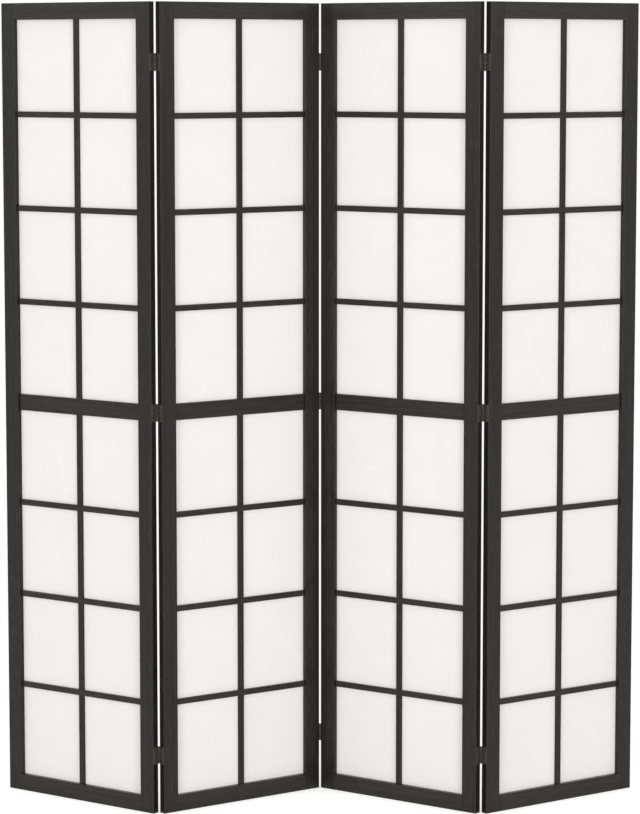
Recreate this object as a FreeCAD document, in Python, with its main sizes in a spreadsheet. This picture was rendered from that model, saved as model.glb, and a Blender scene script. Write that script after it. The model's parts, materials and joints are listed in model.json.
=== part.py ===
"""A four-panel shoji folding screen, in millimetres, standing in its zigzag with +Z up.

The origin is on the floor, under the middle of the screen. Every piece is drawn in its panel's own
frame: X runs from the left stile to the right, Y from the front face to the rear, Z from the floor
up, with zero at the panel's centre line. The panel's placement then stands it in the zigzag.
"""
import FreeCAD
import Part
import math
import os

import Sketcher

# Driving dimensions. Each name is a cell of the sheet.
SIZES = {
    # the panels and how they stand
    "panel_height": 1784,
    "panel_width": 424,
    "panel_thickness": 16.5,
    "panel_turn": 36,  # degrees, from the line on which the screen stands
    # the frame
    "stile_width": 37.5,
    "rail_height": 37,
    "frame_arris": 0.6,
    "tenon_length": 20,
    "tenon_thickness": 5.5,
    "tenon_inset": 8,  # from the rail's outer edge
    "tenon_shoulder": 1,  # from the tenon to the rebate
    "tenon_clearance": 0.1,  # on each side of the tenon
    "end_gap": 0.5,  # past the end of a tenon, a stub or a screw
    # the lattice
    "bar_width": 13,
    "bar_depth": 6.2,
    "mid_rail_height": 36.5,
    "lattice_setback": 4.5,  # from the frame's front face
    "bar_arris": 0.4,
    "stub_length": 6,  # of a bar's end, let into the frame
    # the paper and what holds it in the rear rebate
    "rebate_width": 8,
    "paper_thickness": 0.4,
    "paper_margin": 0.5,  # from the paper's edge to the side of the rebate
    "bead_round": 1,
    # the hinges
    "hinge_height": 38,
    "hinge_inset": 130,  # from a panel's end to the middle of the outer hinge
    "leaf_thickness": 1,
    "leaf_edge_inset": 0.4,  # from the stile's face to the leaf's free edge
    "knuckle_radius": 1.9,  # also the distance from the stile's end face to the pin's axis
    "knuckle_gap": 0.2,
    "notch_clearance": 0.3,  # between a leaf's notch and the other leaf's knuckle
    "pin_offset": 0.5,  # from the stile's face out to the pin's axis
    "pin_radius": 1,
    "pin_clearance": 0.05,
    "pin_head_radius": 1.5,
    "pin_head_height": 0.5,
    "pin_head_round": 0.3,
    "screw_radius": 1.3,
    "screw_length": 12,
    "screw_point": 3,
    "screw_spread": 22,  # between the two screws of a leaf
    "pilot_clearance": 0.05,
    "recess_width": 0.7,
    "recess_length": 2.8,
    "recess_depth": 0.7,
}

# Counts, and where the hinges are. +1 is a panel's right end, -1 its left end.
PANELS = (1, 2, 3, 4)
ROWS = 4  # rows of paper above the mid rail, and below it
HINGES = 3  # hinges at each fold
KNUCKLES = 5  # knuckles of a hinge, shared by its two leaves
REAR_HINGE_END = {1: 1, 2: -1, 3: 1, 4: -1}  # the end where the barrel is on the rear face
HINGED_AT_BOTH_ENDS = (2, 3)  # the second end has its barrel on the front face
OUTER_LEAF_PANELS = (1, 3)  # their leaves have the knuckles at the ends of the barrel, and the pins

# Places in a panel's frame.
END_FACE = "sizes.panel_width / 2"
OPENING_SIDE = "(sizes.panel_width / 2 - sizes.stile_width)"
REAR = "sizes.panel_thickness / 2"
LATTICE_FRONT = "(sizes.lattice_setback - sizes.panel_thickness / 2)"
PAPER_FRONT = "(sizes.lattice_setback + sizes.bar_depth - sizes.panel_thickness / 2)"
PAPER_BACK = f"({PAPER_FRONT} + sizes.paper_thickness)"
LAP_PLANE = f"({LATTICE_FRONT} + sizes.bar_depth / 2)"
TOP = "sizes.panel_height"
MIDDLE = "sizes.panel_height / 2"
ROW_PITCH = f"(({MIDDLE} - sizes.mid_rail_height / 2 - sizes.rail_height) / {ROWS})"
STUB_END = f"({OPENING_SIDE} + sizes.stub_length)"
REBATE_SIDE = f"({OPENING_SIDE} + sizes.rebate_width)"
REBATE_BOTTOM = "(sizes.rail_height - sizes.rebate_width)"
REBATE_TOP = f"({TOP} - {REBATE_BOTTOM})"

# Places of the hinge at the lower end of a panel, with its barrel on the rear face.
HINGE_PITCH = f"(({TOP} - 2 * sizes.hinge_inset) / {HINGES - 1})"
HINGE_BOTTOM = "(sizes.hinge_inset - sizes.hinge_height / 2)"
KNUCKLE_PITCH = f"(sizes.hinge_height / {KNUCKLES})"
PIN_FROM_CENTRE = f"({END_FACE} + sizes.knuckle_radius)"
PIN_FROM_FRONT = f"({REAR} + sizes.pin_offset)"
NOTCH_EDGE = f"({PIN_FROM_FRONT} - sizes.knuckle_radius - sizes.notch_clearance)"
LEAF_EDGE = f"(sizes.leaf_edge_inset - {REAR})"
LEAF_FACE = f"({END_FACE} + sizes.leaf_thickness)"
SCREW_LINE = "((sizes.pin_offset - sizes.knuckle_radius + sizes.leaf_edge_inset) / 2)"

doc = FreeCAD.newDocument("shoji_screen")
pieces = {}  # each piece's name, with the number of solids that it should have


def write_sizes():
    """Put the driving dimensions in the sheet."""
    sheet = doc.addObject("Spreadsheet::Sheet", "sizes")
    for row, (name, size) in enumerate(SIZES.items(), start=1):
        sheet.set(f"A{row}", name)
        sheet.set(f"B{row}", str(size))
        sheet.setAlias(f"B{row}", name)
    doc.recompute()


def value(expression):
    """The number that an expression of the sheet gives now, in the sheet's own units."""
    return float(doc.sizes.evalExpression(expression))


def origin_feature(body, role):
    return next(item for item in body.Origin.OriginFeatures if item.Role == role)


def new_piece(name, panel, solids=1):
    """Start a body that stands where its panel does."""
    body = doc.addObject("PartDesign::Body", name)
    body.Label = name
    body.AllowCompound = solids > 1
    turn = -1 if panel % 2 else 1
    panel_step = (
        "((sizes.panel_width + 2 * sizes.knuckle_radius) * cos(sizes.panel_turn)"
        " + (sizes.panel_thickness + 2 * sizes.pin_offset) * sin(sizes.panel_turn))"
    )
    steps_from_centre = panel - (len(PANELS) + 1) / 2
    body.setExpression("Placement.Base.x", f"{steps_from_centre} * {panel_step}")
    body.Placement.Rotation.Axis = FreeCAD.Vector(0, 0, 1)
    body.setExpression("Placement.Rotation.Angle", f"{turn} * sizes.panel_turn")
    pieces[name] = solids
    return body


def new_sketch(body, plane, height, across="0", up="0"):
    """Attach a sketch at a height over one of the body's planes, with its origin moved if need be.

    A sketch on the XZ plane looks from the front, so its own normal points to -Y.
    """
    sketch = body.newObject("Sketcher::SketchObject", "outline")
    sketch.AttachmentSupport = [(origin_feature(body, f"{plane}_Plane"), "")]
    sketch.MapMode = "FlatFace"
    sketch.setExpression("AttachmentOffset.Base.x", across)
    sketch.setExpression("AttachmentOffset.Base.y", up)
    sketch.setExpression("AttachmentOffset.Base.z", f"-1 * ({height})" if plane == "XZ" else height)
    return sketch


def bind(sketch, kind, expression, *geometry):
    """Add a constraint whose size is an expression of the sheet."""
    index = sketch.addConstraint(Sketcher.Constraint(kind, *geometry, value(expression)))
    sketch.setExpression(f"Constraints[{index}]", expression)


def place_point(sketch, line, end, across, up):
    """Bind one end of a line, or a centre, to its two distances from the sketch's origin."""
    bind(sketch, "DistanceX", across, -1, 1, line, end)
    bind(sketch, "DistanceY", up, -1, 1, line, end)


def draw_outline(sketch, points):
    """Draw a closed outline of straight lines through points given as expressions."""
    corners = [FreeCAD.Vector(value(across), value(up), 0) for across, up in points]
    following_corners = corners[1:] + corners[:1]
    lines = [
        sketch.addGeometry(Part.LineSegment(start, stop), False)
        for start, stop in zip(corners, following_corners)
    ]
    for line, following, point in zip(lines, lines[1:] + lines[:1], points):
        sketch.addConstraint(Sketcher.Constraint("Coincident", line, 2, following, 1))
        place_point(sketch, line, 1, *point)


def draw_rectangle(sketch, left, bottom, right, top):
    draw_outline(sketch, [(left, bottom), (right, bottom), (right, top), (left, top)])


def draw_circle(sketch, across, up, radius):
    centre = FreeCAD.Vector(value(across), value(up), 0)
    circle = sketch.addGeometry(Part.Circle(centre, FreeCAD.Vector(0, 0, 1), value(radius)), False)
    place_point(sketch, circle, 3, across, up)
    bind(sketch, "Radius", radius, circle)


def pad(body, sketch, length, reverse=False, both_ways=False):
    """Add material along the sketch's normal."""
    feature = body.newObject("PartDesign::Pad", "pad")
    feature.Profile = sketch
    feature.setExpression("Length", length)
    feature.Reversed = reverse
    feature.Midplane = both_ways
    doc.recompute()
    return feature


def check_cut(feature, volume_before):
    if feature.Shape.Volume > volume_before - 0.01:
        raise RuntimeError(f"{feature.Label} cuts nothing")


def pocket(body, sketch, depth, reverse=False):
    """Take material away, against the sketch's normal."""
    volume_before = body.Tip.Shape.Volume
    feature = body.newObject("PartDesign::Pocket", "pocket")
    feature.Profile = sketch
    feature.setExpression("Length", depth)
    feature.Reversed = reverse
    doc.recompute()
    check_cut(feature, volume_before)
    return feature


def revolve(body, sketch, axis):
    """Turn a half profile about an axis of its own sketch."""
    feature = body.newObject("PartDesign::Revolution", "turned")
    feature.Profile = sketch
    feature.ReferenceAxis = (sketch, [axis])
    feature.Angle = 360
    doc.recompute()
    return feature


def round_edges(body, radius, is_wanted):
    """Round the edges of the body that is_wanted picks by their ends' bounding box."""
    base = body.Tip
    names = [
        f"Edge{number}"
        for number, edge in enumerate(base.Shape.Edges, start=1)
        if is_wanted(edge.BoundBox)
    ]
    if not names:
        raise RuntimeError(f"{body.Label} has no edge to round")
    fillet = body.newObject("PartDesign::Fillet", "arris")
    fillet.Base = (base, names)
    fillet.setExpression("Radius", radius)
    doc.recompute()


def same(first, second):
    return abs(first - second) < 1e-6


def repeat_upwards(body, count, spacing, features=None):
    """Copy features, or the whole body if none are named, up the Z axis."""
    pattern = body.newObject("PartDesign::LinearPattern", "row")
    if features is None:
        pattern.TransformMode = "Whole shape"
    else:
        pattern.Originals = features
    pattern.Direction = (origin_feature(body, "Z_Axis"), [""])
    pattern.Mode = "Spacing"
    pattern.setExpression("Offset", spacing)
    pattern.Occurrences = count
    body.Tip = pattern
    doc.recompute()


def repeat_at_other_end(body):
    """Copy the whole body half a turn round the panel's centre line."""
    pattern = body.newObject("PartDesign::PolarPattern", "pair")
    pattern.TransformMode = "Whole shape"
    pattern.Axis = (origin_feature(body, "Z_Axis"), [""])
    pattern.Angle = 360
    pattern.Occurrences = 2
    body.Tip = pattern
    doc.recompute()


def row_centre(row, upper):
    """Height of a muntin's centre, counted in rows from the rail or mid rail below it."""
    start = f"({MIDDLE} + sizes.mid_rail_height / 2)" if upper else "sizes.rail_height"
    return f"({start} + {row} * {ROW_PITCH})"


def lattice_bands():
    """The bottom and top of each bar that crosses the panel, mid rail included."""
    bands = [(f"({MIDDLE} - sizes.mid_rail_height / 2)", f"({MIDDLE} + sizes.mid_rail_height / 2)")]
    for upper in (False, True):
        for row in range(1, ROWS):
            centre = row_centre(row, upper)
            bands.append((f"({centre} - sizes.bar_width / 2)", f"({centre} + sizes.bar_width / 2)"))
    return bands


def rail_tenon_band(is_top):
    """Bottom and top of the tenon of a rail, without clearance."""
    low = "sizes.tenon_inset"
    high = f"({REBATE_BOTTOM} - sizes.tenon_shoulder)"
    if is_top:
        return f"({TOP} - {high})", f"({TOP} - {low})"
    return low, high


def make_stile(panel, end):
    """A full-height upright: mortises, bar housings, the rear rebate and the screws' pilot holes."""
    side = "right" if end > 0 else "left"
    body = new_piece(f"panel_{panel}_stile_{side}", panel)
    inner = f"{end} * {OPENING_SIDE}"

    section = new_sketch(body, "XY", "0")
    draw_rectangle(section, f"{end} * {END_FACE}", f"-1 * {REAR}", inner, REAR)
    pad(body, section, TOP)
    round_edges(body, "sizes.frame_arris", lambda box: True)

    mortises = new_sketch(body, "YZ", inner)
    half_mortise = "(sizes.tenon_thickness / 2 + sizes.tenon_clearance)"
    for is_top in (False, True):
        low, high = rail_tenon_band(is_top)
        draw_rectangle(
            mortises,
            f"-1 * {half_mortise}",
            f"{low} - sizes.tenon_clearance",
            half_mortise,
            f"{high} + sizes.tenon_clearance",
        )
    pocket(body, mortises, "sizes.tenon_length + sizes.end_gap", reverse=end > 0)

    housings = new_sketch(body, "XZ", LATTICE_FRONT)
    for low, high in lattice_bands():
        draw_rectangle(housings, inner, low, f"{end} * ({STUB_END} + sizes.end_gap)", high)
    pocket(body, housings, "sizes.bar_depth")

    rebate = new_sketch(body, "XZ", PAPER_FRONT)
    draw_rectangle(rebate, inner, REBATE_BOTTOM, f"{end} * {REBATE_SIDE}", REBATE_TOP)
    pocket(body, rebate, f"{REAR} - {PAPER_FRONT}")

    if end == REAR_HINGE_END[panel]:
        drill_pilot_holes(body, end, SCREW_LINE)
    elif panel in HINGED_AT_BOTH_ENDS:
        drill_pilot_holes(body, end, f"-1 * {SCREW_LINE}")


def drill_pilot_holes(body, end, screw_line):
    """Two holes behind each hinge, in the stile's end face."""
    centres = new_sketch(body, "YZ", f"{end} * {END_FACE}")
    for hinge in range(HINGES):
        for half in (-1, 1):
            height = f"sizes.hinge_inset + {hinge} * {HINGE_PITCH} + {half} * sizes.screw_spread / 2"
            draw_circle(centres, screw_line, height, "sizes.screw_radius")
    doc.recompute()
    volume_before = body.Tip.Shape.Volume
    hole = body.newObject("PartDesign::Hole", "pilot_holes")
    hole.Profile = centres
    hole.Reversed = end < 0
    hole.DepthType = "Dimension"
    hole.setExpression("Diameter", "2 * (sizes.screw_radius + sizes.pilot_clearance)")
    hole.setExpression("Depth", "sizes.screw_length - sizes.leaf_thickness + sizes.end_gap")
    hole.DrillPoint = "Flat"
    doc.recompute()
    check_cut(hole, volume_before)


def make_rail(panel, is_top):
    """A top or bottom rail: tenoned ends, the rebate and the housing for the mullion's end."""
    body = new_piece(f"panel_{panel}_{'top' if is_top else 'bottom'}_rail", panel)
    outer_edge = TOP if is_top else "0"
    inner_edge = f"({TOP} - sizes.rail_height)" if is_top else "sizes.rail_height"
    inward = -1 if is_top else 1

    section = new_sketch(body, "YZ", "0")
    draw_rectangle(section, f"-1 * {REAR}", outer_edge, REAR, inner_edge)
    pad(body, section, f"2 * {OPENING_SIDE}", both_ways=True)
    opening_width = 2 * value(OPENING_SIDE)
    round_edges(body, "sizes.frame_arris", lambda box: same(box.XLength, opening_width))

    low, high = rail_tenon_band(is_top)
    tenon = new_sketch(body, "YZ", "0")
    draw_rectangle(tenon, "-1 * sizes.tenon_thickness / 2", low, "sizes.tenon_thickness / 2", high)
    pad(body, tenon, f"2 * ({OPENING_SIDE} + sizes.tenon_length)", both_ways=True)

    housing = new_sketch(body, "XZ", LATTICE_FRONT)
    housing_end = f"{inner_edge} - {inward} * (sizes.stub_length + sizes.end_gap)"
    draw_rectangle(housing, "-1 * sizes.bar_width / 2", housing_end, "sizes.bar_width / 2", inner_edge)
    pocket(body, housing, "sizes.bar_depth")

    rebate = new_sketch(body, "XZ", PAPER_FRONT)
    rebate_edge = REBATE_TOP if is_top else REBATE_BOTTOM
    draw_rectangle(rebate, f"-1 * {OPENING_SIDE}", rebate_edge, OPENING_SIDE, inner_edge)
    pocket(body, rebate, f"{REAR} - {PAPER_FRONT}")


def round_front_edges(body):
    """Round the long front edges of a lattice bar, which is longer than any of its notches."""
    front = value(LATTICE_FRONT)
    box = body.Tip.Shape.BoundBox
    longest = max(box.XLength, box.ZLength)
    round_edges(
        body,
        "sizes.bar_arris",
        lambda edge: same(edge.YMax, front) and same(max(edge.XLength, edge.ZLength), longest),
    )


def make_cross_bars(name, panel, height, centre, count=1):
    """A bar, or a row of them, that runs from stile to stile in front of the mullion's notches."""
    body = new_piece(name, panel, count)
    low = f"{centre} - {height} / 2"
    high = f"{centre} + {height} / 2"
    bar = new_sketch(body, "XZ", PAPER_FRONT)
    draw_rectangle(bar, f"-1 * {STUB_END}", low, STUB_END, high)
    pad(body, bar, "sizes.bar_depth")
    round_front_edges(body)
    lap = new_sketch(body, "XZ", LAP_PLANE)
    draw_rectangle(lap, "-1 * sizes.bar_width / 2", low, "sizes.bar_width / 2", high)
    pocket(body, lap, "sizes.bar_depth / 2")
    if count > 1:
        repeat_upwards(body, count, ROW_PITCH)


def make_mullion(panel):
    """The upright bar of the lattice, notched at the front for each bar that crosses it."""
    body = new_piece(f"panel_{panel}_mullion", panel)
    left = "-1 * sizes.bar_width / 2"
    right = "sizes.bar_width / 2"
    foot = "(sizes.rail_height - sizes.stub_length)"
    bar = new_sketch(body, "XZ", PAPER_FRONT)
    draw_rectangle(bar, left, foot, right, f"{TOP} - {foot}")
    pad(body, bar, "sizes.bar_depth")
    round_front_edges(body)
    laps = new_sketch(body, "XZ", LATTICE_FRONT)
    for low, high in lattice_bands():
        draw_rectangle(laps, left, low, right, high)
    pocket(body, laps, "sizes.bar_depth / 2")


def make_paper(panel):
    """One sheet against the back of the lattice, its edges in the rebate."""
    body = new_piece(f"panel_{panel}_paper", panel)
    sheet = new_sketch(body, "XZ", PAPER_BACK)
    edge = f"({REBATE_SIDE} - sizes.paper_margin)"
    draw_rectangle(
        sheet,
        f"-1 * {edge}",
        f"{REBATE_BOTTOM} + sizes.paper_margin",
        edge,
        f"{REBATE_TOP} - sizes.paper_margin",
    )
    pad(body, sheet, "sizes.paper_thickness")


def make_strips(name, panel, rectangles, is_rounded):
    """Strips behind the paper, flush with the rear face, with their inner rear edges rounded."""
    body = new_piece(name, panel, len(rectangles))
    outline = new_sketch(body, "XZ", REAR)
    for corners in rectangles:
        draw_rectangle(outline, *corners)
    pad(body, outline, f"{REAR} - {PAPER_BACK}")
    rear = value(REAR)
    round_edges(body, "sizes.bead_round", lambda edge: same(edge.YMin, rear) and is_rounded(edge))


def make_beads_and_batten(panel):
    """Two upright beads, two short ones between them, and the batten behind the mid rail."""
    side_beads = [
        (f"{end} * {OPENING_SIDE}", REBATE_BOTTOM, f"{end} * {REBATE_SIDE}", REBATE_TOP) for end in (-1, 1)
    ]
    left = f"-1 * {OPENING_SIDE}"
    end_beads = [
        (left, REBATE_BOTTOM, OPENING_SIDE, "sizes.rail_height"),
        (left, f"{TOP} - sizes.rail_height", OPENING_SIDE, REBATE_TOP),
    ]
    mid_low, mid_high = lattice_bands()[0]
    opening_side = value(OPENING_SIDE)
    bottom = value("sizes.rail_height")
    top = value(f"{TOP} - sizes.rail_height")
    make_strips(
        f"panel_{panel}_side_beads",
        panel,
        side_beads,
        lambda edge: edge.XLength < 1e-6 and same(abs(edge.XMin), opening_side),
    )
    make_strips(
        f"panel_{panel}_end_beads",
        panel,
        end_beads,
        lambda edge: same(edge.ZMin, edge.ZMax) and (same(edge.ZMin, bottom) or same(edge.ZMin, top)),
    )
    make_strips(
        f"panel_{panel}_mid_batten",
        panel,
        [(left, mid_low, OPENING_SIDE, mid_high)],
        lambda edge: same(edge.ZMin, edge.ZMax),
    )


def draw_knuckle(sketch, end):
    """A leaf's section where it rolls round the pin, with the pin's bore through it."""
    centre = (f"{end} * {PIN_FROM_CENTRE}", PIN_FROM_FRONT)
    radius = value("sizes.knuckle_radius")
    middle = FreeCAD.Vector(value(centre[0]), value(centre[1]), 0)
    notch = value(NOTCH_EDGE)
    back_x = value(f"{end} * {END_FACE}")
    outer_x = value(f"{end} * {LEAF_FACE}")

    # The roll leaves the back of the leaf at a tangent, goes round and meets its outer face.
    back_angle = math.pi if end > 0 else 0
    outer_angle = -math.acos((outer_x - middle.x) / radius)
    circle = Part.Circle(middle, FreeCAD.Vector(0, 0, 1), radius)
    if end > 0:
        roll_shape = Part.ArcOfCircle(circle, outer_angle, back_angle)
        roll_outer, roll_back = 1, 2
    else:
        roll_shape = Part.ArcOfCircle(circle, back_angle, outer_angle + 2 * math.pi)
        roll_back, roll_outer = 1, 2
    roll = sketch.addGeometry(roll_shape, False)
    corners = [
        FreeCAD.Vector(back_x, middle.y, 0),
        FreeCAD.Vector(back_x, notch, 0),
        FreeCAD.Vector(outer_x, notch, 0),
        middle + FreeCAD.Vector(math.cos(outer_angle), math.sin(outer_angle), 0) * radius,
    ]
    back, foot, outer = [
        sketch.addGeometry(Part.LineSegment(start, stop), False)
        for start, stop in zip(corners, corners[1:])
    ]
    for first, first_end, second, second_end in (
        (roll, roll_back, back, 1),
        (back, 2, foot, 1),
        (foot, 2, outer, 1),
        (outer, 2, roll, roll_outer),
    ):
        ends = (first, first_end, second, second_end)
        sketch.addConstraint(Sketcher.Constraint("Coincident", *ends))
    place_point(sketch, roll, 3, *centre)
    bind(sketch, "Radius", "sizes.knuckle_radius", roll)
    sketch.addConstraint(Sketcher.Constraint("Horizontal", roll, 3, roll, roll_back))
    sketch.addConstraint(Sketcher.Constraint("Vertical", back))
    sketch.addConstraint(Sketcher.Constraint("Horizontal", foot))
    sketch.addConstraint(Sketcher.Constraint("Vertical", outer))
    place_point(sketch, foot, 2, f"{end} * {LEAF_FACE}", NOTCH_EDGE)
    draw_circle(sketch, *centre, "sizes.pin_radius + sizes.pin_clearance")


def hinge_solids(panel, per_hinge=1):
    ends = 2 if panel in HINGED_AT_BOTH_ENDS else 1
    return HINGES * ends * per_hinge


def repeat_at_hinges(body, panel):
    repeat_upwards(body, HINGES, HINGE_PITCH)
    if panel in HINGED_AT_BOTH_ENDS:
        repeat_at_other_end(body)


def make_hinge_leaves(panel):
    """Butt hinge leaves on the stiles' end faces, with every other knuckle of the barrel."""
    body = new_piece(f"panel_{panel}_hinge_leaves", panel, hinge_solids(panel))
    end = REAR_HINGE_END[panel]

    plate = new_sketch(body, "YZ", f"{end} * {END_FACE}")
    draw_rectangle(plate, LEAF_EDGE, HINGE_BOTTOM, NOTCH_EDGE, f"{HINGE_BOTTOM} + sizes.hinge_height")
    pad(body, plate, "sizes.leaf_thickness", reverse=end < 0)

    first_knuckle = 0 if panel in OUTER_LEAF_PANELS else 1
    own_knuckles = len(range(first_knuckle, KNUCKLES, 2))
    height = f"{HINGE_BOTTOM} + {first_knuckle} * {KNUCKLE_PITCH} + sizes.knuckle_gap / 2"
    section = new_sketch(body, "XY", height)
    draw_knuckle(section, end)
    knuckle = pad(body, section, f"{KNUCKLE_PITCH} - sizes.knuckle_gap")
    repeat_upwards(body, own_knuckles, f"2 * {KNUCKLE_PITCH}", [knuckle])

    centres = new_sketch(body, "YZ", f"{end} * {LEAF_FACE}")
    for half in (-1, 1):
        height = f"sizes.hinge_inset + {half} * sizes.screw_spread / 2"
        draw_circle(centres, SCREW_LINE, height, "sizes.screw_radius")
    doc.recompute()
    volume_before = body.Tip.Shape.Volume
    hole = body.newObject("PartDesign::Hole", "screw_holes")
    hole.Profile = centres
    hole.Reversed = end < 0
    hole.DepthType = "Dimension"
    hole.setExpression("Depth", "sizes.leaf_thickness")
    hole.DrillPoint = "Flat"
    hole.setExpression("Diameter", "2 * (sizes.screw_radius + sizes.pilot_clearance)")
    hole.HoleCutType = "Countersink"
    hole.setExpression("HoleCutDiameter", "2 * (sizes.screw_radius + sizes.leaf_thickness)")
    hole.HoleCutCountersinkAngle = 90
    doc.recompute()
    check_cut(hole, volume_before)

    repeat_at_hinges(body, panel)


def make_hinge_screws(panel):
    """Countersunk wood screws, as deep in the head as the leaf is thick, with a cross recess."""
    per_leaf = 2
    body = new_piece(f"panel_{panel}_hinge_screws", panel, hinge_solids(panel, per_leaf))
    end = REAR_HINGE_END[panel]
    height = "sizes.hinge_inset - sizes.screw_spread / 2"

    half_profile = new_sketch(body, "XY", height, f"{end} * {LEAF_FACE}", SCREW_LINE)
    draw_outline(
        half_profile,
        [
            ("0", "0"),
            ("0", "sizes.screw_radius + sizes.leaf_thickness"),
            (f"{-end} * sizes.leaf_thickness", "sizes.screw_radius"),
            (f"{-end} * (sizes.screw_length - sizes.screw_point)", "sizes.screw_radius"),
            (f"{-end} * sizes.screw_length", "0"),
        ],
    )
    revolve(body, half_profile, "H_Axis")

    arms = (("sizes.recess_length", "sizes.recess_width"), ("sizes.recess_width", "sizes.recess_length"))
    for wide, tall in arms:
        arm = new_sketch(body, "YZ", f"{end} * {LEAF_FACE}", SCREW_LINE, height)
        draw_rectangle(arm, f"-1 * {wide} / 2", f"-1 * {tall} / 2", f"{wide} / 2", f"{tall} / 2")
        pocket(body, arm, "sizes.recess_depth", reverse=end < 0)

    repeat_upwards(body, per_leaf, "sizes.screw_spread")
    repeat_at_hinges(body, panel)


def make_hinge_pins(panel, at_rear_end):
    """The pins of one fold, headed at both ends, in the frame of the panel that holds them."""
    end = REAR_HINGE_END[panel] if at_rear_end else -REAR_HINGE_END[panel]
    face = 1 if at_rear_end else -1
    other = panel + end
    name = f"hinge_pins_{min(panel, other)}_{max(panel, other)}"
    body = new_piece(name, panel, HINGES)
    half_profile = new_sketch(
        body, "XZ", f"{face} * {PIN_FROM_FRONT}", f"{end} * {PIN_FROM_CENTRE}", "sizes.hinge_inset"
    )
    half_shank = "sizes.hinge_height / 2"
    half_length = f"({half_shank} + sizes.pin_head_height)"
    draw_outline(
        half_profile,
        [
            ("0", f"-1 * {half_length}"),
            ("sizes.pin_head_radius", f"-1 * {half_length}"),
            ("sizes.pin_head_radius", f"-1 * {half_shank}"),
            ("sizes.pin_radius", f"-1 * {half_shank}"),
            ("sizes.pin_radius", half_shank),
            ("sizes.pin_head_radius", half_shank),
            ("sizes.pin_head_radius", half_length),
            ("0", half_length),
        ],
    )
    turned = revolve(body, half_profile, "V_Axis")
    low = turned.Shape.BoundBox.ZMin
    high = turned.Shape.BoundBox.ZMax
    round_edges(
        body,
        "sizes.pin_head_round",
        lambda edge: edge.XLength > 1e-6 and (same(edge.ZMax, low) or same(edge.ZMin, high)),
    )
    repeat_upwards(body, HINGES, HINGE_PITCH)


def make_panel(panel):
    for end in (-1, 1):
        make_stile(panel, end)
    for is_top in (False, True):
        make_rail(panel, is_top)
    make_cross_bars(f"panel_{panel}_mid_rail", panel, "sizes.mid_rail_height", MIDDLE)
    for half, upper in (("lower", False), ("upper", True)):
        first = row_centre(1, upper)
        make_cross_bars(f"panel_{panel}_muntins_{half}", panel, "sizes.bar_width", first, ROWS - 1)
    make_mullion(panel)
    make_paper(panel)
    make_beads_and_batten(panel)
    make_hinge_leaves(panel)
    make_hinge_screws(panel)


def check_and_export():
    """Stop at any failed object or wrong piece, then write one file for each piece."""
    doc.recompute()
    for item in doc.Objects:
        if "Invalid" in item.State or "Error" in item.State:
            raise RuntimeError(f"{item.Label} failed: {item.State}")
    os.makedirs("parts", exist_ok=True)
    for name, solids in pieces.items():
        shape = doc.getObjectsByLabel(name)[0].Shape
        if shape.isNull() or not shape.isValid():
            raise RuntimeError(f"{name} has no valid shape")
        if len(shape.Solids) != solids:
            raise RuntimeError(f"{name} has {len(shape.Solids)} solids, not {solids}")
        shape.exportStep(f"parts/{name}.step")
    print(f"{len(pieces)} pieces written, {sum(pieces.values())} solids")


write_sizes()
for panel in PANELS:
    make_panel(panel)
make_hinge_pins(1, at_rear_end=True)
make_hinge_pins(3, at_rear_end=False)
make_hinge_pins(3, at_rear_end=True)
check_and_export()
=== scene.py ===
"""A four-panel shoji folding screen of black-stained spruce, shade paper and bronzed butt hinges."""

import json
import math
import random

import bmesh
import bpy
from mathutils import Matrix, Vector


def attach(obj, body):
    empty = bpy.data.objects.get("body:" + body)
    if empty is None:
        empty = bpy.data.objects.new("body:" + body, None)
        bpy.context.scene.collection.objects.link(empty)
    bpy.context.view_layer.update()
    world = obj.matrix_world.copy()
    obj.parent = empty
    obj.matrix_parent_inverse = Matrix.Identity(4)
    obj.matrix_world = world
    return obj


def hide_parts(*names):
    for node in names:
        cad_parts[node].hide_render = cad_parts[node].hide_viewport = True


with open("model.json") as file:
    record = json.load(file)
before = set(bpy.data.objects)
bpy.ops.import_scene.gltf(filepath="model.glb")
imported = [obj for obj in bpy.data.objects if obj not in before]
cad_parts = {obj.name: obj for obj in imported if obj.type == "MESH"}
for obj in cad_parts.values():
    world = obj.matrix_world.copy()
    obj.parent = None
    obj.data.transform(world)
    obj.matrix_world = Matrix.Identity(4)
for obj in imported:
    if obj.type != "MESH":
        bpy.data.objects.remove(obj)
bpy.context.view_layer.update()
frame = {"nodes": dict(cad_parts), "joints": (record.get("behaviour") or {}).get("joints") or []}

# The photograph is taken square on with a long lens, from a little above eye level, so that the
# screen fills the picture from edge to edge.
picture_height = 814
focal_length_in_pixels = 3091.85
camera_distance = 6.832
camera_height = 1.6605
tilt_down = math.radians(6.422)
long_lens = bpy.data.cameras.new("long_lens")
long_lens.sensor_width = 36
long_lens.lens = focal_length_in_pixels / picture_height * long_lens.sensor_width
camera = bpy.data.objects.new("camera", long_lens)
camera.location = (0, -camera_distance, camera_height)
camera.rotation_euler = (math.radians(90) - tilt_down, 0, 0)
bpy.context.collection.objects.link(camera)
bpy.context.scene.camera = camera
bpy.context.scene.view_settings.view_transform = "Standard"


# The studio is a white floor under even white light. The floor is matt paint and keeps the soft
# shadow; what the camera or a reflection sees of it and of the room is lifted to white.
def linear(code):
    """An sRGB hex colour as linear red, green, blue and alpha."""
    channels = [int(code[start : start + 2], 16) / 255 for start in (1, 3, 5)]
    return (*(c / 12.92 if c <= 0.04045 else ((c + 0.055) / 1.055) ** 2.4 for c in channels), 1)


def add_node(tree, kind, inputs=None, **settings):
    """Add a node, set its settings, and give each named input a value or a link."""
    node = tree.nodes.new(kind)
    for name, setting in settings.items():
        setattr(node, name, setting)
    for socket, given in (inputs or {}).items():
        if isinstance(given, bpy.types.NodeSocket):
            tree.links.new(given, node.inputs[socket])
        else:
            node.inputs[socket].default_value = given
    return node


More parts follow.
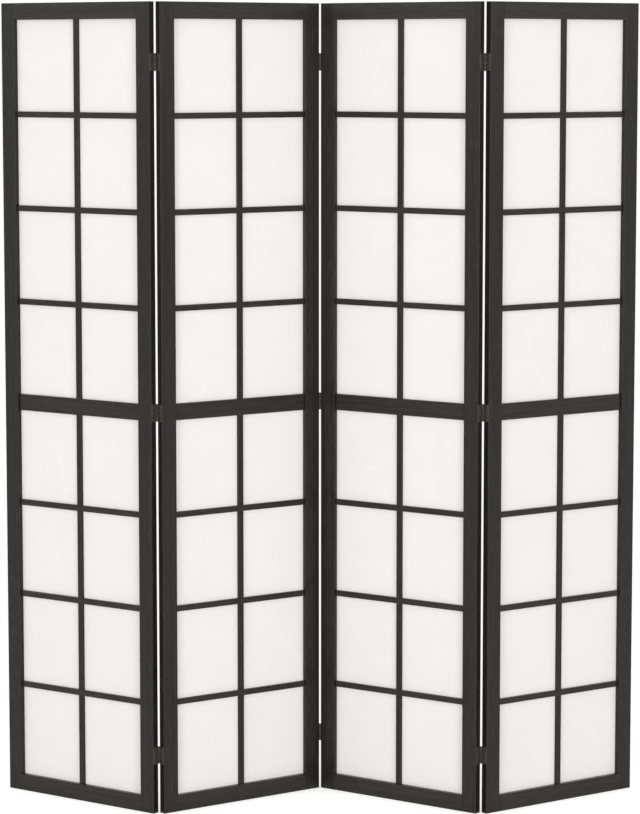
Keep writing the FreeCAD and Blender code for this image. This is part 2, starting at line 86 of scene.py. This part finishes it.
def start_material(name):
    material = bpy.data.materials.new(name)
    material.use_nodes = True
    material.node_tree.nodes.clear()
    return material


def seen_by_eye(tree):
    """1 where the camera sees a surface, straight, in a reflection or through glass, else 0."""
    path = add_node(tree, "ShaderNodeLightPath")
    seen = path.outputs["Is Camera Ray"]
    for ray in ("Is Glossy Ray", "Is Transmission Ray"):
        either = add_node(tree, "ShaderNodeMath", {0: seen, 1: path.outputs[ray]}, operation="MAXIMUM")
        seen = either.outputs["Value"]
    return seen


def add_object(name, shape, material):
    """Turn a finished bmesh into an object of one material."""
    mesh = bpy.data.meshes.new(name)
    shape.to_mesh(mesh)
    shape.free()
    mesh.materials.append(material)
    piece = bpy.data.objects.new(name, mesh)
    bpy.context.collection.objects.link(piece)
    return piece


# Matt paint, rolled on, with no gloss: the eye reads it as an even white with soft shadows.
floor_paint = start_material("matt white floor paint")
tree = floor_paint.node_tree
paint = add_node(tree, "ShaderNodeBsdfDiffuse", {"Color": linear("#e2e2e0")})
lift = add_node(
    tree, "ShaderNodeMapRange", {"Value": seen_by_eye(tree), "To Min": 0, "To Max": 0.57}
)
glow = add_node(tree, "ShaderNodeEmission", {"Strength": lift.outputs["Result"]})
lit = add_node(tree, "ShaderNodeAddShader", {0: paint.outputs["BSDF"], 1: glow.outputs["Emission"]})
add_node(tree, "ShaderNodeOutputMaterial", {"Surface": lit.outputs["Shader"]})

floor = bmesh.new()
bmesh.ops.create_circle(floor, cap_ends=True, segments=64, radius=40)
add_object("studio_floor", floor, floor_paint)

room = bpy.data.worlds.new("white room")
room.use_nodes = True
tree = room.node_tree
tree.nodes.clear()
strength = add_node(
    tree, "ShaderNodeMapRange", {"Value": seen_by_eye(tree), "To Min": 0.56, "To Max": 1}
)
white = add_node(
    tree, "ShaderNodeBackground", {"Color": linear("#ffffff"), "Strength": strength.outputs["Result"]}
)
add_node(tree, "ShaderNodeOutputWorld", {"Surface": white.outputs["Background"]})
bpy.context.scene.world = room

# Two large softboxes light the front evenly. Two small ones high at the sides, where the panels
# mirror them to the camera, make the wood shine a little more towards the top. Metres and watts.
screen_middle = Vector((0, 0, 0.9))
for name, place, width, height, power in (
    ("front_left", (-3.4, -7.2, 1.2), 3, 2.2, 214),
    ("front_right", (3.4, -7.2, 1.2), 3, 2.2, 222),
    ("side_left", (-4.2, -1.4, 2.6), 2.4, 1.2, 16),
    ("side_right", (4.2, -1.4, 2.6), 2.4, 1.2, 12),
):
    light = bpy.data.lights.new(f"{name}_softbox", "AREA")
    light.shape = "RECTANGLE"
    light.size = width
    light.size_y = height
    light.energy = power
    softbox = bpy.data.objects.new(f"{name}_softbox", light)
    softbox.location = place
    softbox.rotation_euler = (screen_middle - softbox.location).to_track_quat("-Z", "Y").to_euler()
    bpy.context.collection.objects.link(softbox)


# Four equal panels stand in a zigzag, each turned from the screen's line by half of what would
# lay it flat with its neighbour. New pieces are drawn in millimetres on their own panel's axes,
# from the middle of its foot: X along the panel, Y towards its rear and Z up.
panels = (1, 2, 3, 4)
millimetre = 0.001
joints = {joint["name"]: joint for joint in frame["joints"]}
half_fold = math.radians(joints["fold_2_3"]["range_deg"][1]) / 2
panel_step = joints["fold_3_4"]["pos_m"][0]


def turn_of(panel):
    return -half_fold if panel % 2 else half_fold


def panel_to_screen(panel):
    steps_from_centre = panel - (len(panels) + 1) / 2
    place = Matrix.Translation((steps_from_centre * panel_step, 0, 0))
    return place @ Matrix.Rotation(turn_of(panel), 4, "Z") @ Matrix.Scale(millimetre, 4)


# The frame, the lattice, the beads that hold the paper and the batten behind the mid rail are
# spruce, planed, stained near black and lacquered satin. Rails, bars and frame are jointed and
# glued, and the beads and the batten are let into the rear.
def stained_spruce(name, dark, pale, panel_turn=None):
    """Near-black wood with low, soft reflections, and short pale flecks where it took less stain.

    Its grain runs along a panel that stands at the given turn, or upright where there is none.
    """
    material = start_material(name)
    tree = material.node_tree
    place = add_node(tree, "ShaderNodeTexCoord").outputs["Object"]

    def grain(width, length, detail=2):
        """Noise with features of that width across the grain and length along it, in mm."""
        size = (width, width, length) if panel_turn is None else (length, width, width)
        along_piece = add_node(
            tree,
            "ShaderNodeMapping",
            {
                "Vector": place,
                "Rotation": (0, 0, panel_turn or 0),
                "Scale": [millimetre * part for part in size],
            },
            vector_type="TEXTURE",
        )
        noise = add_node(
            tree,
            "ShaderNodeTexNoise",
            {"Vector": along_piece.outputs["Vector"], "Scale": 1, "Detail": detail},
        )
        return noise.outputs["Fac"]

    # Spruce has rings about 3 mm apart and fibres under 0.1 mm wide. They are drawn coarser here,
    # so that they show.
    rings = grain(width=6, length=400)
    fibres = grain(width=1.3, length=60, detail=3)
    flecks = grain(width=1.8, length=34)

    figure = add_node(tree, "ShaderNodeMix", {"Factor": 0.5, "A": rings, "B": fibres})
    stain = add_node(tree, "ShaderNodeValToRGB", {"Fac": figure.outputs["Result"]})
    dark_end, pale_end = stain.color_ramp.elements
    dark_end.position = 0.38
    dark_end.color = linear(dark)
    pale_end.position = 0.62
    pale_end.color = linear(pale)
    fleck_share = add_node(
        tree,
        "ShaderNodeMapRange",
        {"Value": flecks, "From Min": 0.58, "From Max": 0.74, "To Max": 0.65},
    )
    stain_with_flecks = add_node(
        tree,
        "ShaderNodeMix",
        {
            "Factor": fleck_share.outputs["Result"],
            "A": stain.outputs["Color"],
            "B": linear("#3d3a36"),
        },
        data_type="RGBA",
    )
    lacquer = add_node(
        tree,
        "ShaderNodeMapRange",
        {"Value": fibres, "From Min": 0.3, "From Max": 0.7, "To Min": 0.34, "To Max": 0.22},
    )
    raised_grain = add_node(
        tree,
        "ShaderNodeBump",
        {"Height": fibres, "Strength": 0.4, "Distance": 0.1 * millimetre},
    )
    wood = add_node(
        tree,
        "ShaderNodeBsdfPrincipled",
        {
            "Base Color": stain_with_flecks.outputs["Result"],
            "Roughness": lacquer.outputs["Result"],
            "IOR": 1.5,
            "Specular IOR Level": 0.26,
            "Normal": raised_grain.outputs["Normal"],
        },
    )
    add_node(tree, "ShaderNodeOutputMaterial", {"Surface": wood.outputs["BSDF"]})
    return material


# What lies across the panel is drawn a shade paler than what stands upright. This is painted sheen,
# which stands in for the lacquer's brighter reflection on the rails and bars.
upright_spruce = stained_spruce("black-stained spruce, grain upright", "#121110", "#211f1c")
crosswise_spruce_painted_sheen = {
    turn_of(panel): stained_spruce(
        f"black-stained spruce, grain along panels {panel} and {panel + 2}",
        "#181614",
        "#292723",
        panel_turn=turn_of(panel),
    )
    for panel in (1, 2)
}
upright_pieces = ("stile", "mullion", "side_beads")
crosswise_pieces = ("rail", "muntins", "end_beads", "batten")
for name, node in frame["nodes"].items():
    if any(piece in name for piece in upright_pieces):
        node.material_slots[0].material = upright_spruce
    elif any(piece in name for piece in crosswise_pieces):
        panel = int(name.split("_")[1])
        node.material_slots[0].material = crosswise_spruce_painted_sheen[turn_of(panel)]


# The paper is one sheet of white fibre-reinforced shade paper to a panel, held at its edges by
# the beads and glued to the back of the lattice. Between the bars it is a little slack.
panel_height = 1784
rail_height = 37
mid_rail_height = 36.5
bar_width = 13
opening_width = 349
opening_height = panel_height - 2 * rail_height
paper_margin = 7.5
paper_width = opening_width + 2 * paper_margin
paper_height = opening_height + 2 * paper_margin
paper_thickness = 0.4
paper_front = 2.45
rows_in_half = 4
row_pitch = (opening_height - mid_rail_height) / 2 / rows_in_half
bow_forward = -0.4
bow_backward = 0.8
mesh_cell = 8
slack = random.Random(7)

# Pulp and long fibres, laid wet and rolled smooth: an even, matt, slightly warm white with faint
# clouds, fine winding fibres just paler than the pulp, and a quarter of the light let through.
shade_paper = start_material("fibre-reinforced shade paper")
tree = shade_paper.node_tree
place = add_node(tree, "ShaderNodeTexCoord").outputs["Object"]


def paper_fibres(spacing, width):
    """Thin winding lines where a noise passes its middle value, spaced and as wide as given in mm."""
    noise = add_node(
        tree,
        "ShaderNodeTexNoise",
        {"Vector": place, "Scale": 1 / (spacing * millimetre), "Detail": 1, "Distortion": 1.2},
    )
    height = add_node(
        tree, "ShaderNodeMath", {0: noise.outputs["Fac"], 1: 0.5}, operation="SUBTRACT"
    )
    from_line = add_node(tree, "ShaderNodeMath", {0: height.outputs["Value"]}, operation="ABSOLUTE")
    fibre = add_node(
        tree,
        "ShaderNodeMapRange",
        {"Value": from_line.outputs["Value"], "From Max": width / spacing, "To Min": 1, "To Max": 0},
        interpolation_type="SMOOTHSTEP",
    )
    return fibre.outputs["Result"]


# The real fibres are some 0.1 mm wide. They are drawn wider, so that they show.
long_fibres = paper_fibres(spacing=24, width=0.8)
short_fibres = paper_fibres(spacing=9, width=0.35)
fibres = add_node(tree, "ShaderNodeMath", {0: long_fibres, 1: short_fibres}, operation="MAXIMUM")
pulp = add_node(
    tree, "ShaderNodeTexNoise", {"Vector": place, "Scale": 1 / (60 * millimetre), "Detail": 3}
)
clouds = add_node(
    tree,
    "ShaderNodeMix",
    {"Factor": pulp.outputs["Fac"], "A": linear("#f1f0ef"), "B": linear("#f5f4f3")},
    data_type="RGBA",
)
fibre_share = add_node(
    tree, "ShaderNodeMapRange", {"Value": fibres.outputs["Value"], "To Max": 0.35}
)
paper_colour = add_node(
    tree,
    "ShaderNodeMix",
    {"Factor": fibre_share.outputs["Result"], "A": clouds.outputs["Result"], "B": linear("#faf9f8")},
    data_type="RGBA",
)
tooth = add_node(
    tree,
    "ShaderNodeBump",
    {"Height": fibres.outputs["Value"], "Strength": 0.2, "Distance": 0.05 * millimetre},
)
reflecting = add_node(
    tree,
    "ShaderNodeBsdfPrincipled",
    {
        "Base Color": paper_colour.outputs["Result"],
        "Roughness": 0.8,
        "IOR": 1.45,
        "Normal": tooth.outputs["Normal"],
    },
)
letting_through = add_node(
    tree, "ShaderNodeBsdfTranslucent", {"Color": paper_colour.outputs["Result"]}
)
both_ways = add_node(
    tree,
    "ShaderNodeMixShader",
    {"Fac": 0.25, 1: reflecting.outputs["BSDF"], 2: letting_through.outputs["BSDF"]},
)
add_node(tree, "ShaderNodeOutputMaterial", {"Surface": both_ways.outputs["Shader"]})


def pane_rows():
    """The bottom and top of each row of panes."""
    for start in (rail_height, panel_height / 2 + mid_rail_height / 2):
        for row in range(rows_in_half):
            low = start + row * row_pitch
            high = low + row_pitch
            if row > 0:
                low += bar_width / 2
            if row < rows_in_half - 1:
                high -= bar_width / 2
            yield low, high


def finish_piece(name, shape, material, node, body):
    """Make a shape the visible piece that stands for a node and moves with a body."""
    piece = add_object(name, shape, material)
    piece.data.shade_smooth()
    piece.data.set_sharp_from_angle(angle=math.radians(35))
    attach(piece, body)
    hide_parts(node)
    return piece


for panel in panels:
    sheet = bmesh.new()
    across_and_up = [round(side / mesh_cell) for side in (paper_width, paper_height)]
    bmesh.ops.create_grid(sheet, x_segments=across_and_up[0], y_segments=across_and_up[1], size=0.5)
    bmesh.ops.scale(sheet, vec=(paper_width, paper_height, 1), verts=sheet.verts)
    upright = Matrix.Rotation(math.radians(90), 3, "X")
    bmesh.ops.rotate(sheet, matrix=upright, verts=sheet.verts)
    bmesh.ops.translate(sheet, vec=(0, paper_front, panel_height / 2), verts=sheet.verts)
    for low, high in pane_rows():
        for side in (-1, 1):
            bow = slack.uniform(bow_forward, bow_backward)
            for vertex in sheet.verts:
                across = (side * vertex.co.x - bar_width / 2) / (opening_width / 2 - bar_width / 2)
                up = (vertex.co.z - low) / (high - low)
                if 0 < across < 1 and 0 < up < 1:
                    vertex.co.y += bow * math.sin(math.pi * across) * math.sin(math.pi * up)
    bmesh.ops.solidify(sheet, geom=sheet.faces, thickness=paper_thickness)
    bmesh.ops.transform(sheet, matrix=panel_to_screen(panel), verts=sheet.verts)
    piece = finish_piece(
        f"panel_{panel}_paper_sheet",
        sheet,
        shade_paper,
        node=f"panel_{panel}_paper",
        body=f"panel_{panel}",
    )


# Three butt hinges join each two panels. A leaf is sheet steel with one edge cut into tongues and
# rolled into knuckles, and it lies on the end of a stile. At the middle fold the barrel is at the
# front, and at the other two at the rear.
panel_end = 212
hinge_inset = 130
hinge_heights = (hinge_inset, panel_height / 2, panel_height - hinge_inset)
leaf_height = 38
leaf_thickness = 1
leaf_front = -7.85
leaf_rear = 6.55
leaf_middle = (leaf_rear + leaf_front) / 2
corner_radius = 1
broken_edge = 0.1
screw_across = -0.5
screw_spread = 22
head_radius = 2.3
shank_radius = 1.3
hole_clearance = 0.1
knuckle_count = 5
knuckle_gap = 0.2
knuckle_radius = 1.9
knuckle_wall = 0.85
tongue_overlap = 1
roll_angle = math.radians(290)
roll_fullness = 0.15
tolerance = 0.01
pin_along = panel_end + knuckle_radius
pin_across = 8.75

# Turns X to Y, Y to Z and Z to X: a thing drawn lying face up then stands on a panel's right end.
stand_on_end = Matrix.Rotation(math.radians(120), 4, (1, 1, 1))


def worn_bronze(name, dark, pale, roughness):
    """Steel plated and darkened, then tumbled: olive brown and dull, paler where it is rubbed."""
    material = start_material(name)
    tree = material.node_tree
    place = add_node(tree, "ShaderNodeTexCoord").outputs["Object"]
    rub_size = 6 * millimetre
    # The plating's real specks are finer, and are drawn this coarse so that they show.
    speck_size = 0.7 * millimetre
    patches = add_node(
        tree, "ShaderNodeTexNoise", {"Vector": place, "Scale": 1 / rub_size, "Detail": 4}
    )
    finish = add_node(tree, "ShaderNodeValToRGB", {"Fac": patches.outputs["Fac"]})
    dark_end, pale_end = finish.color_ramp.elements
    dark_end.position = 0.35
    dark_end.color = linear(dark)
    pale_end.position = 0.7
    pale_end.color = linear(pale)
    rubbed = add_node(
        tree,
        "ShaderNodeMapRange",
        {
            "Value": patches.outputs["Fac"],
            "From Min": 0.3,
            "From Max": 0.7,
            "To Min": roughness + 0.1,
            "To Max": roughness - 0.05,
        },
    )
    specks = add_node(
        tree, "ShaderNodeTexNoise", {"Vector": place, "Scale": 1 / speck_size, "Detail": 2}
    )
    pitted = add_node(
        tree,
        "ShaderNodeBump",
        {"Height": specks.outputs["Fac"], "Strength": 0.2, "Distance": 0.05 * millimetre},
    )
    metal = add_node(
        tree,
        "ShaderNodeBsdfPrincipled",
        {
            "Base Color": finish.outputs["Color"],
            "Metallic": 1,
            "Roughness": rubbed.outputs["Result"],
            "Normal": pitted.outputs["Normal"],
        },
    )
    add_node(tree, "ShaderNodeOutputMaterial", {"Surface": metal.outputs["BSDF"]})
    return material


def vertices_of(geometry):
    return [item for item in geometry if isinstance(item, bmesh.types.BMVert)]


def break_sharp_edges(shape):
    """Round off the edges that a tool leaves sharp."""
    sharp = [edge for edge in shape.edges if edge.calc_face_angle(0) > math.radians(40)]
    bmesh.ops.bevel(
        shape, geom=sharp, offset=broken_edge, affect="EDGES", segments=2, profile=0.5, material=-1
    )


def repeat_at(shape, places):
    """Replace a shape with a copy of it at each of the places."""
    original = [*shape.verts, *shape.edges, *shape.faces]
    for place in places:
        copy = vertices_of(bmesh.ops.duplicate(shape, geom=original)["geom"])
        bmesh.ops.transform(shape, matrix=place, verts=copy)
    bmesh.ops.delete(shape, geom=vertices_of(original), context="VERTS")
    bmesh.ops.recalc_face_normals(shape, faces=shape.faces)


def hinge_places(panel, half_turns, handed=Matrix.Identity(4)):
    """Places at a panel's hinges for what is drawn about the middle of one on its right end."""
    return [
        panel_to_screen(panel)
        @ Matrix.Rotation(math.radians(half_turn), 4, "Z")
        @ Matrix.Translation((0, 0, height))
        @ handed
        for half_turn in half_turns
        for height in hinge_heights
    ]


def leaf_places(panel):
    """A panel's leaves: the outer panels are hinged at one end, and every second one is mirrored."""
    half_turns = (0, 180) if panel in (2, 3) else (0,)
    mirror = Matrix.Scale(-1, 4, (1, 0, 0))
    return hinge_places(panel, half_turns, handed=Matrix.Identity(4) if panel % 2 else mirror)


def add_leaf_plate(leaf):
    """The flat of a leaf, with rounded free corners and two holes that narrow towards its back."""
    outline = bmesh.ops.create_grid(leaf, x_segments=1, y_segments=1, size=0.5)["verts"]
    bmesh.ops.scale(leaf, vec=(leaf_rear - leaf_front, leaf_height, 1), verts=outline)
    bmesh.ops.bevel(
        leaf,
        geom=[corner for corner in outline if corner.co.x < 0],
        offset=corner_radius,
        affect="VERTICES",
        segments=4,
        profile=0.5,
        material=-1,
    )
    bmesh.ops.delete(leaf, geom=leaf.faces, context="FACES_ONLY")
    countersink_radius = head_radius + hole_clearance
    holes = [Vector((screw_across - leaf_middle, half * screw_spread / 2, 0)) for half in (-1, 1)]
    for hole in holes:
        place = Matrix.Translation(hole)
        bmesh.ops.create_circle(leaf, segments=24, radius=countersink_radius, matrix=place)
    bmesh.ops.triangle_fill(leaf, use_beauty=True, edges=leaf.edges)
    back = vertices_of(bmesh.ops.extrude_face_region(leaf, geom=leaf.faces)["geom"])
    for vertex in back:
        for hole in holes:
            from_hole = vertex.co - hole
            if from_hole.length < countersink_radius + hole_clearance:
                vertex.co = hole + from_hole.normalized() * (shank_radius + hole_clearance)
    bmesh.ops.translate(leaf, vec=(0, 0, -leaf_thickness), verts=back)
    break_sharp_edges(leaf)
    face_of_leaf = Matrix.Translation((panel_end + leaf_thickness, leaf_middle, 0))
    bmesh.ops.transform(leaf, matrix=face_of_leaf @ stand_on_end, verts=leaf.verts)


def add_knuckle(leaf, low, high):
    """A tongue that leaves the back of the plate, and rolls round the pin."""
    knuckle = bmesh.new()
    tongue_start = leaf_rear - tongue_overlap
    tongue_length = pin_across - tongue_start
    bmesh.ops.create_cube(knuckle, size=1)
    bmesh.ops.scale(knuckle, vec=(knuckle_wall, tongue_length, high - low), verts=knuckle.verts)
    bmesh.ops.translate(
        knuckle,
        vec=(panel_end + knuckle_wall / 2, tongue_start + tongue_length / 2, (low + high) / 2),
        verts=knuckle.verts,
    )
    end = max(knuckle.faces, key=lambda face: face.calc_center_median().y)
    bmesh.ops.spin(
        knuckle,
        geom=[end, *end.edges],
        cent=(pin_along, pin_across, 0),
        axis=(0, 0, 1),
        angle=-roll_angle,
        steps=24,
    )
    # Pressed over its mandrel, the roll comes out a little fuller than its own leaf's back.
    for vertex in knuckle.verts:
        from_axis = Vector((vertex.co.x - pin_along, vertex.co.y - pin_across, 0))
        is_outside_of_roll = abs(from_axis.length - knuckle_radius) < tolerance
        if is_outside_of_roll:
            turned_away = 1 + min(0, from_axis.x / knuckle_radius)
            vertex.co += from_axis.normalized() * turned_away * roll_fullness
    break_sharp_edges(knuckle)
    rolled = bpy.data.meshes.new("knuckle")
    knuckle.to_mesh(rolled)
    knuckle.free()
    leaf.from_mesh(rolled)
    bpy.data.meshes.remove(rolled)


hinge_bronze = worn_bronze("antique bronze plated steel", "#4b4943", "#5b5850", 0.72)
for panel in panels:
    leaves = bmesh.new()
    add_leaf_plate(leaves)
    pitch = leaf_height / knuckle_count
    first_knuckle = 0 if panel % 2 else 1
    for knuckle in range(first_knuckle, knuckle_count, 2):
        low = knuckle * pitch - leaf_height / 2
        add_knuckle(leaves, low + knuckle_gap / 2, low + pitch - knuckle_gap / 2)
    repeat_at(leaves, leaf_places(panel))
    finish_piece(
        f"panel_{panel}_rolled_leaves",
        leaves,
        hinge_bronze,
        node=f"panel_{panel}_hinge_leaves",
        body=f"panel_{panel}",
    )


# Two countersunk wood screws hold each leaf to the end of its stile. They are steel with a rolled
# thread and a pressed cross recess, finished in the leaves' bronze but rubbed a little brighter.
set_below_face = 0.05
screw_length = 12
head_rim = 0.1
plain_shank = 3.5
thread_start = 4
thread_pitch = 1
thread_root_radius = 1
thread_points = 12
recess_width = 0.35
recess_length = 1.4
recess_depth = 0.8
recess_taper = 0.6
screw_bronze = worn_bronze("antique bronze plated screw steel", "#45433d", "#605d54", 0.5)


def turn_profile(shape, profile, steps):
    """Spin a profile of radius and height about the Z axis, as on a lathe."""
    points = [shape.verts.new((radius, 0, height)) for radius, height in profile]
    lines = [shape.edges.new(ends) for ends in zip(points, points[1:])]
    bmesh.ops.spin(
        shape,
        geom=points + lines,
        cent=(0, 0, 0),
        axis=(0, 0, 1),
        angle=math.radians(360),
        steps=steps,
        use_merge=True,
    )
    bmesh.ops.remove_doubles(shape, verts=shape.verts, dist=0.001)


def add_cross_recess(screw):
    """Close the head with a face that has a tapering cross pressed into it."""
    cross = bmesh.ops.create_grid(screw, x_segments=3, y_segments=3, size=1)["verts"]
    # The grid's outer lines go to the ends of the cross, and its inner ones to the arms' sides.
    for vertex in cross:
        for axis in (0, 1):
            reach = recess_length if abs(vertex.co[axis]) > 0.5 else recess_width
            vertex.co[axis] = math.copysign(reach, vertex.co[axis])
    top_faces = [face for face in screw.faces if face.calc_center_median().z > -tolerance]
    corners = [
        face
        for face in top_faces
        if all(abs(face.calc_center_median()[axis]) > recess_width for axis in (0, 1))
    ]
    bmesh.ops.delete(screw, geom=corners, context="FACES")
    cross_faces = [face for face in screw.faces if face.calc_center_median().z > -tolerance]
    bottom = vertices_of(bmesh.ops.extrude_face_region(screw, geom=cross_faces)["geom"])
    bmesh.ops.scale(screw, vec=(recess_taper, recess_taper, 1), verts=bottom)
    bmesh.ops.translate(screw, vec=(0, 0, -recess_depth), verts=bottom)
    rims = [edge for edge in screw.edges if edge.is_boundary]
    bmesh.ops.triangle_fill(screw, use_beauty=True, edges=rims)


for panel in panels:
    screws = bmesh.new()
    head = [(head_radius - head_rim, 0), (head_radius, -head_rim), (shank_radius, -leaf_thickness)]
    thread = [
        (shank_radius if point % 2 else thread_root_radius, -thread_start - point * thread_pitch / 2)
        for point in range(thread_points)
    ]
    turn_profile(screws, [*head, (shank_radius, -plain_shank), *thread, (0, -screw_length)], steps=24)
    add_cross_recess(screws)
    head_height = panel_end + leaf_thickness - set_below_face
    places_on_leaf = [
        Matrix.Translation((head_height, screw_across, half * screw_spread / 2)) @ stand_on_end
        for half in (-1, 1)
    ]
    repeat_at(screws, places_on_leaf)
    repeat_at(screws, leaf_places(panel))
    finish_piece(
        f"panel_{panel}_recessed_screws",
        screws,
        screw_bronze,
        node=f"panel_{panel}_hinge_screws",
        body=f"panel_{panel}",
    )


# A steel pin runs through the knuckles of each hinge. It is headed over to a low dome at both
# ends, which keeps it in, and it is bronzed with the leaves.
pin_radius = 1
head_outline = ((1.5, 0), (1.5, 0.2), (1.38, 0.42), (1.1, 0.5), (0, 0.52))
for fold, panel, half_turn in (("1_2", 1, 0), ("2_3", 3, 180), ("3_4", 3, 0)):
    end = leaf_height / 2
    top = [(pin_radius, end), *((radius, end + height) for radius, height in head_outline)]
    bottom = [(radius, -height) for radius, height in reversed(top)]
    pins = bmesh.new()
    turn_profile(pins, [*bottom, (pin_radius, 0), *top], steps=20)
    repeat_at(pins, [Matrix.Translation((pin_along, pin_across, 0))])
    repeat_at(pins, hinge_places(panel, (half_turn,)))
    finish_piece(
        f"domed_pins_{fold}",
        pins,
        hinge_bronze,
        node=f"hinge_pins_{fold}",
        body=f"panel_{panel}",
    )
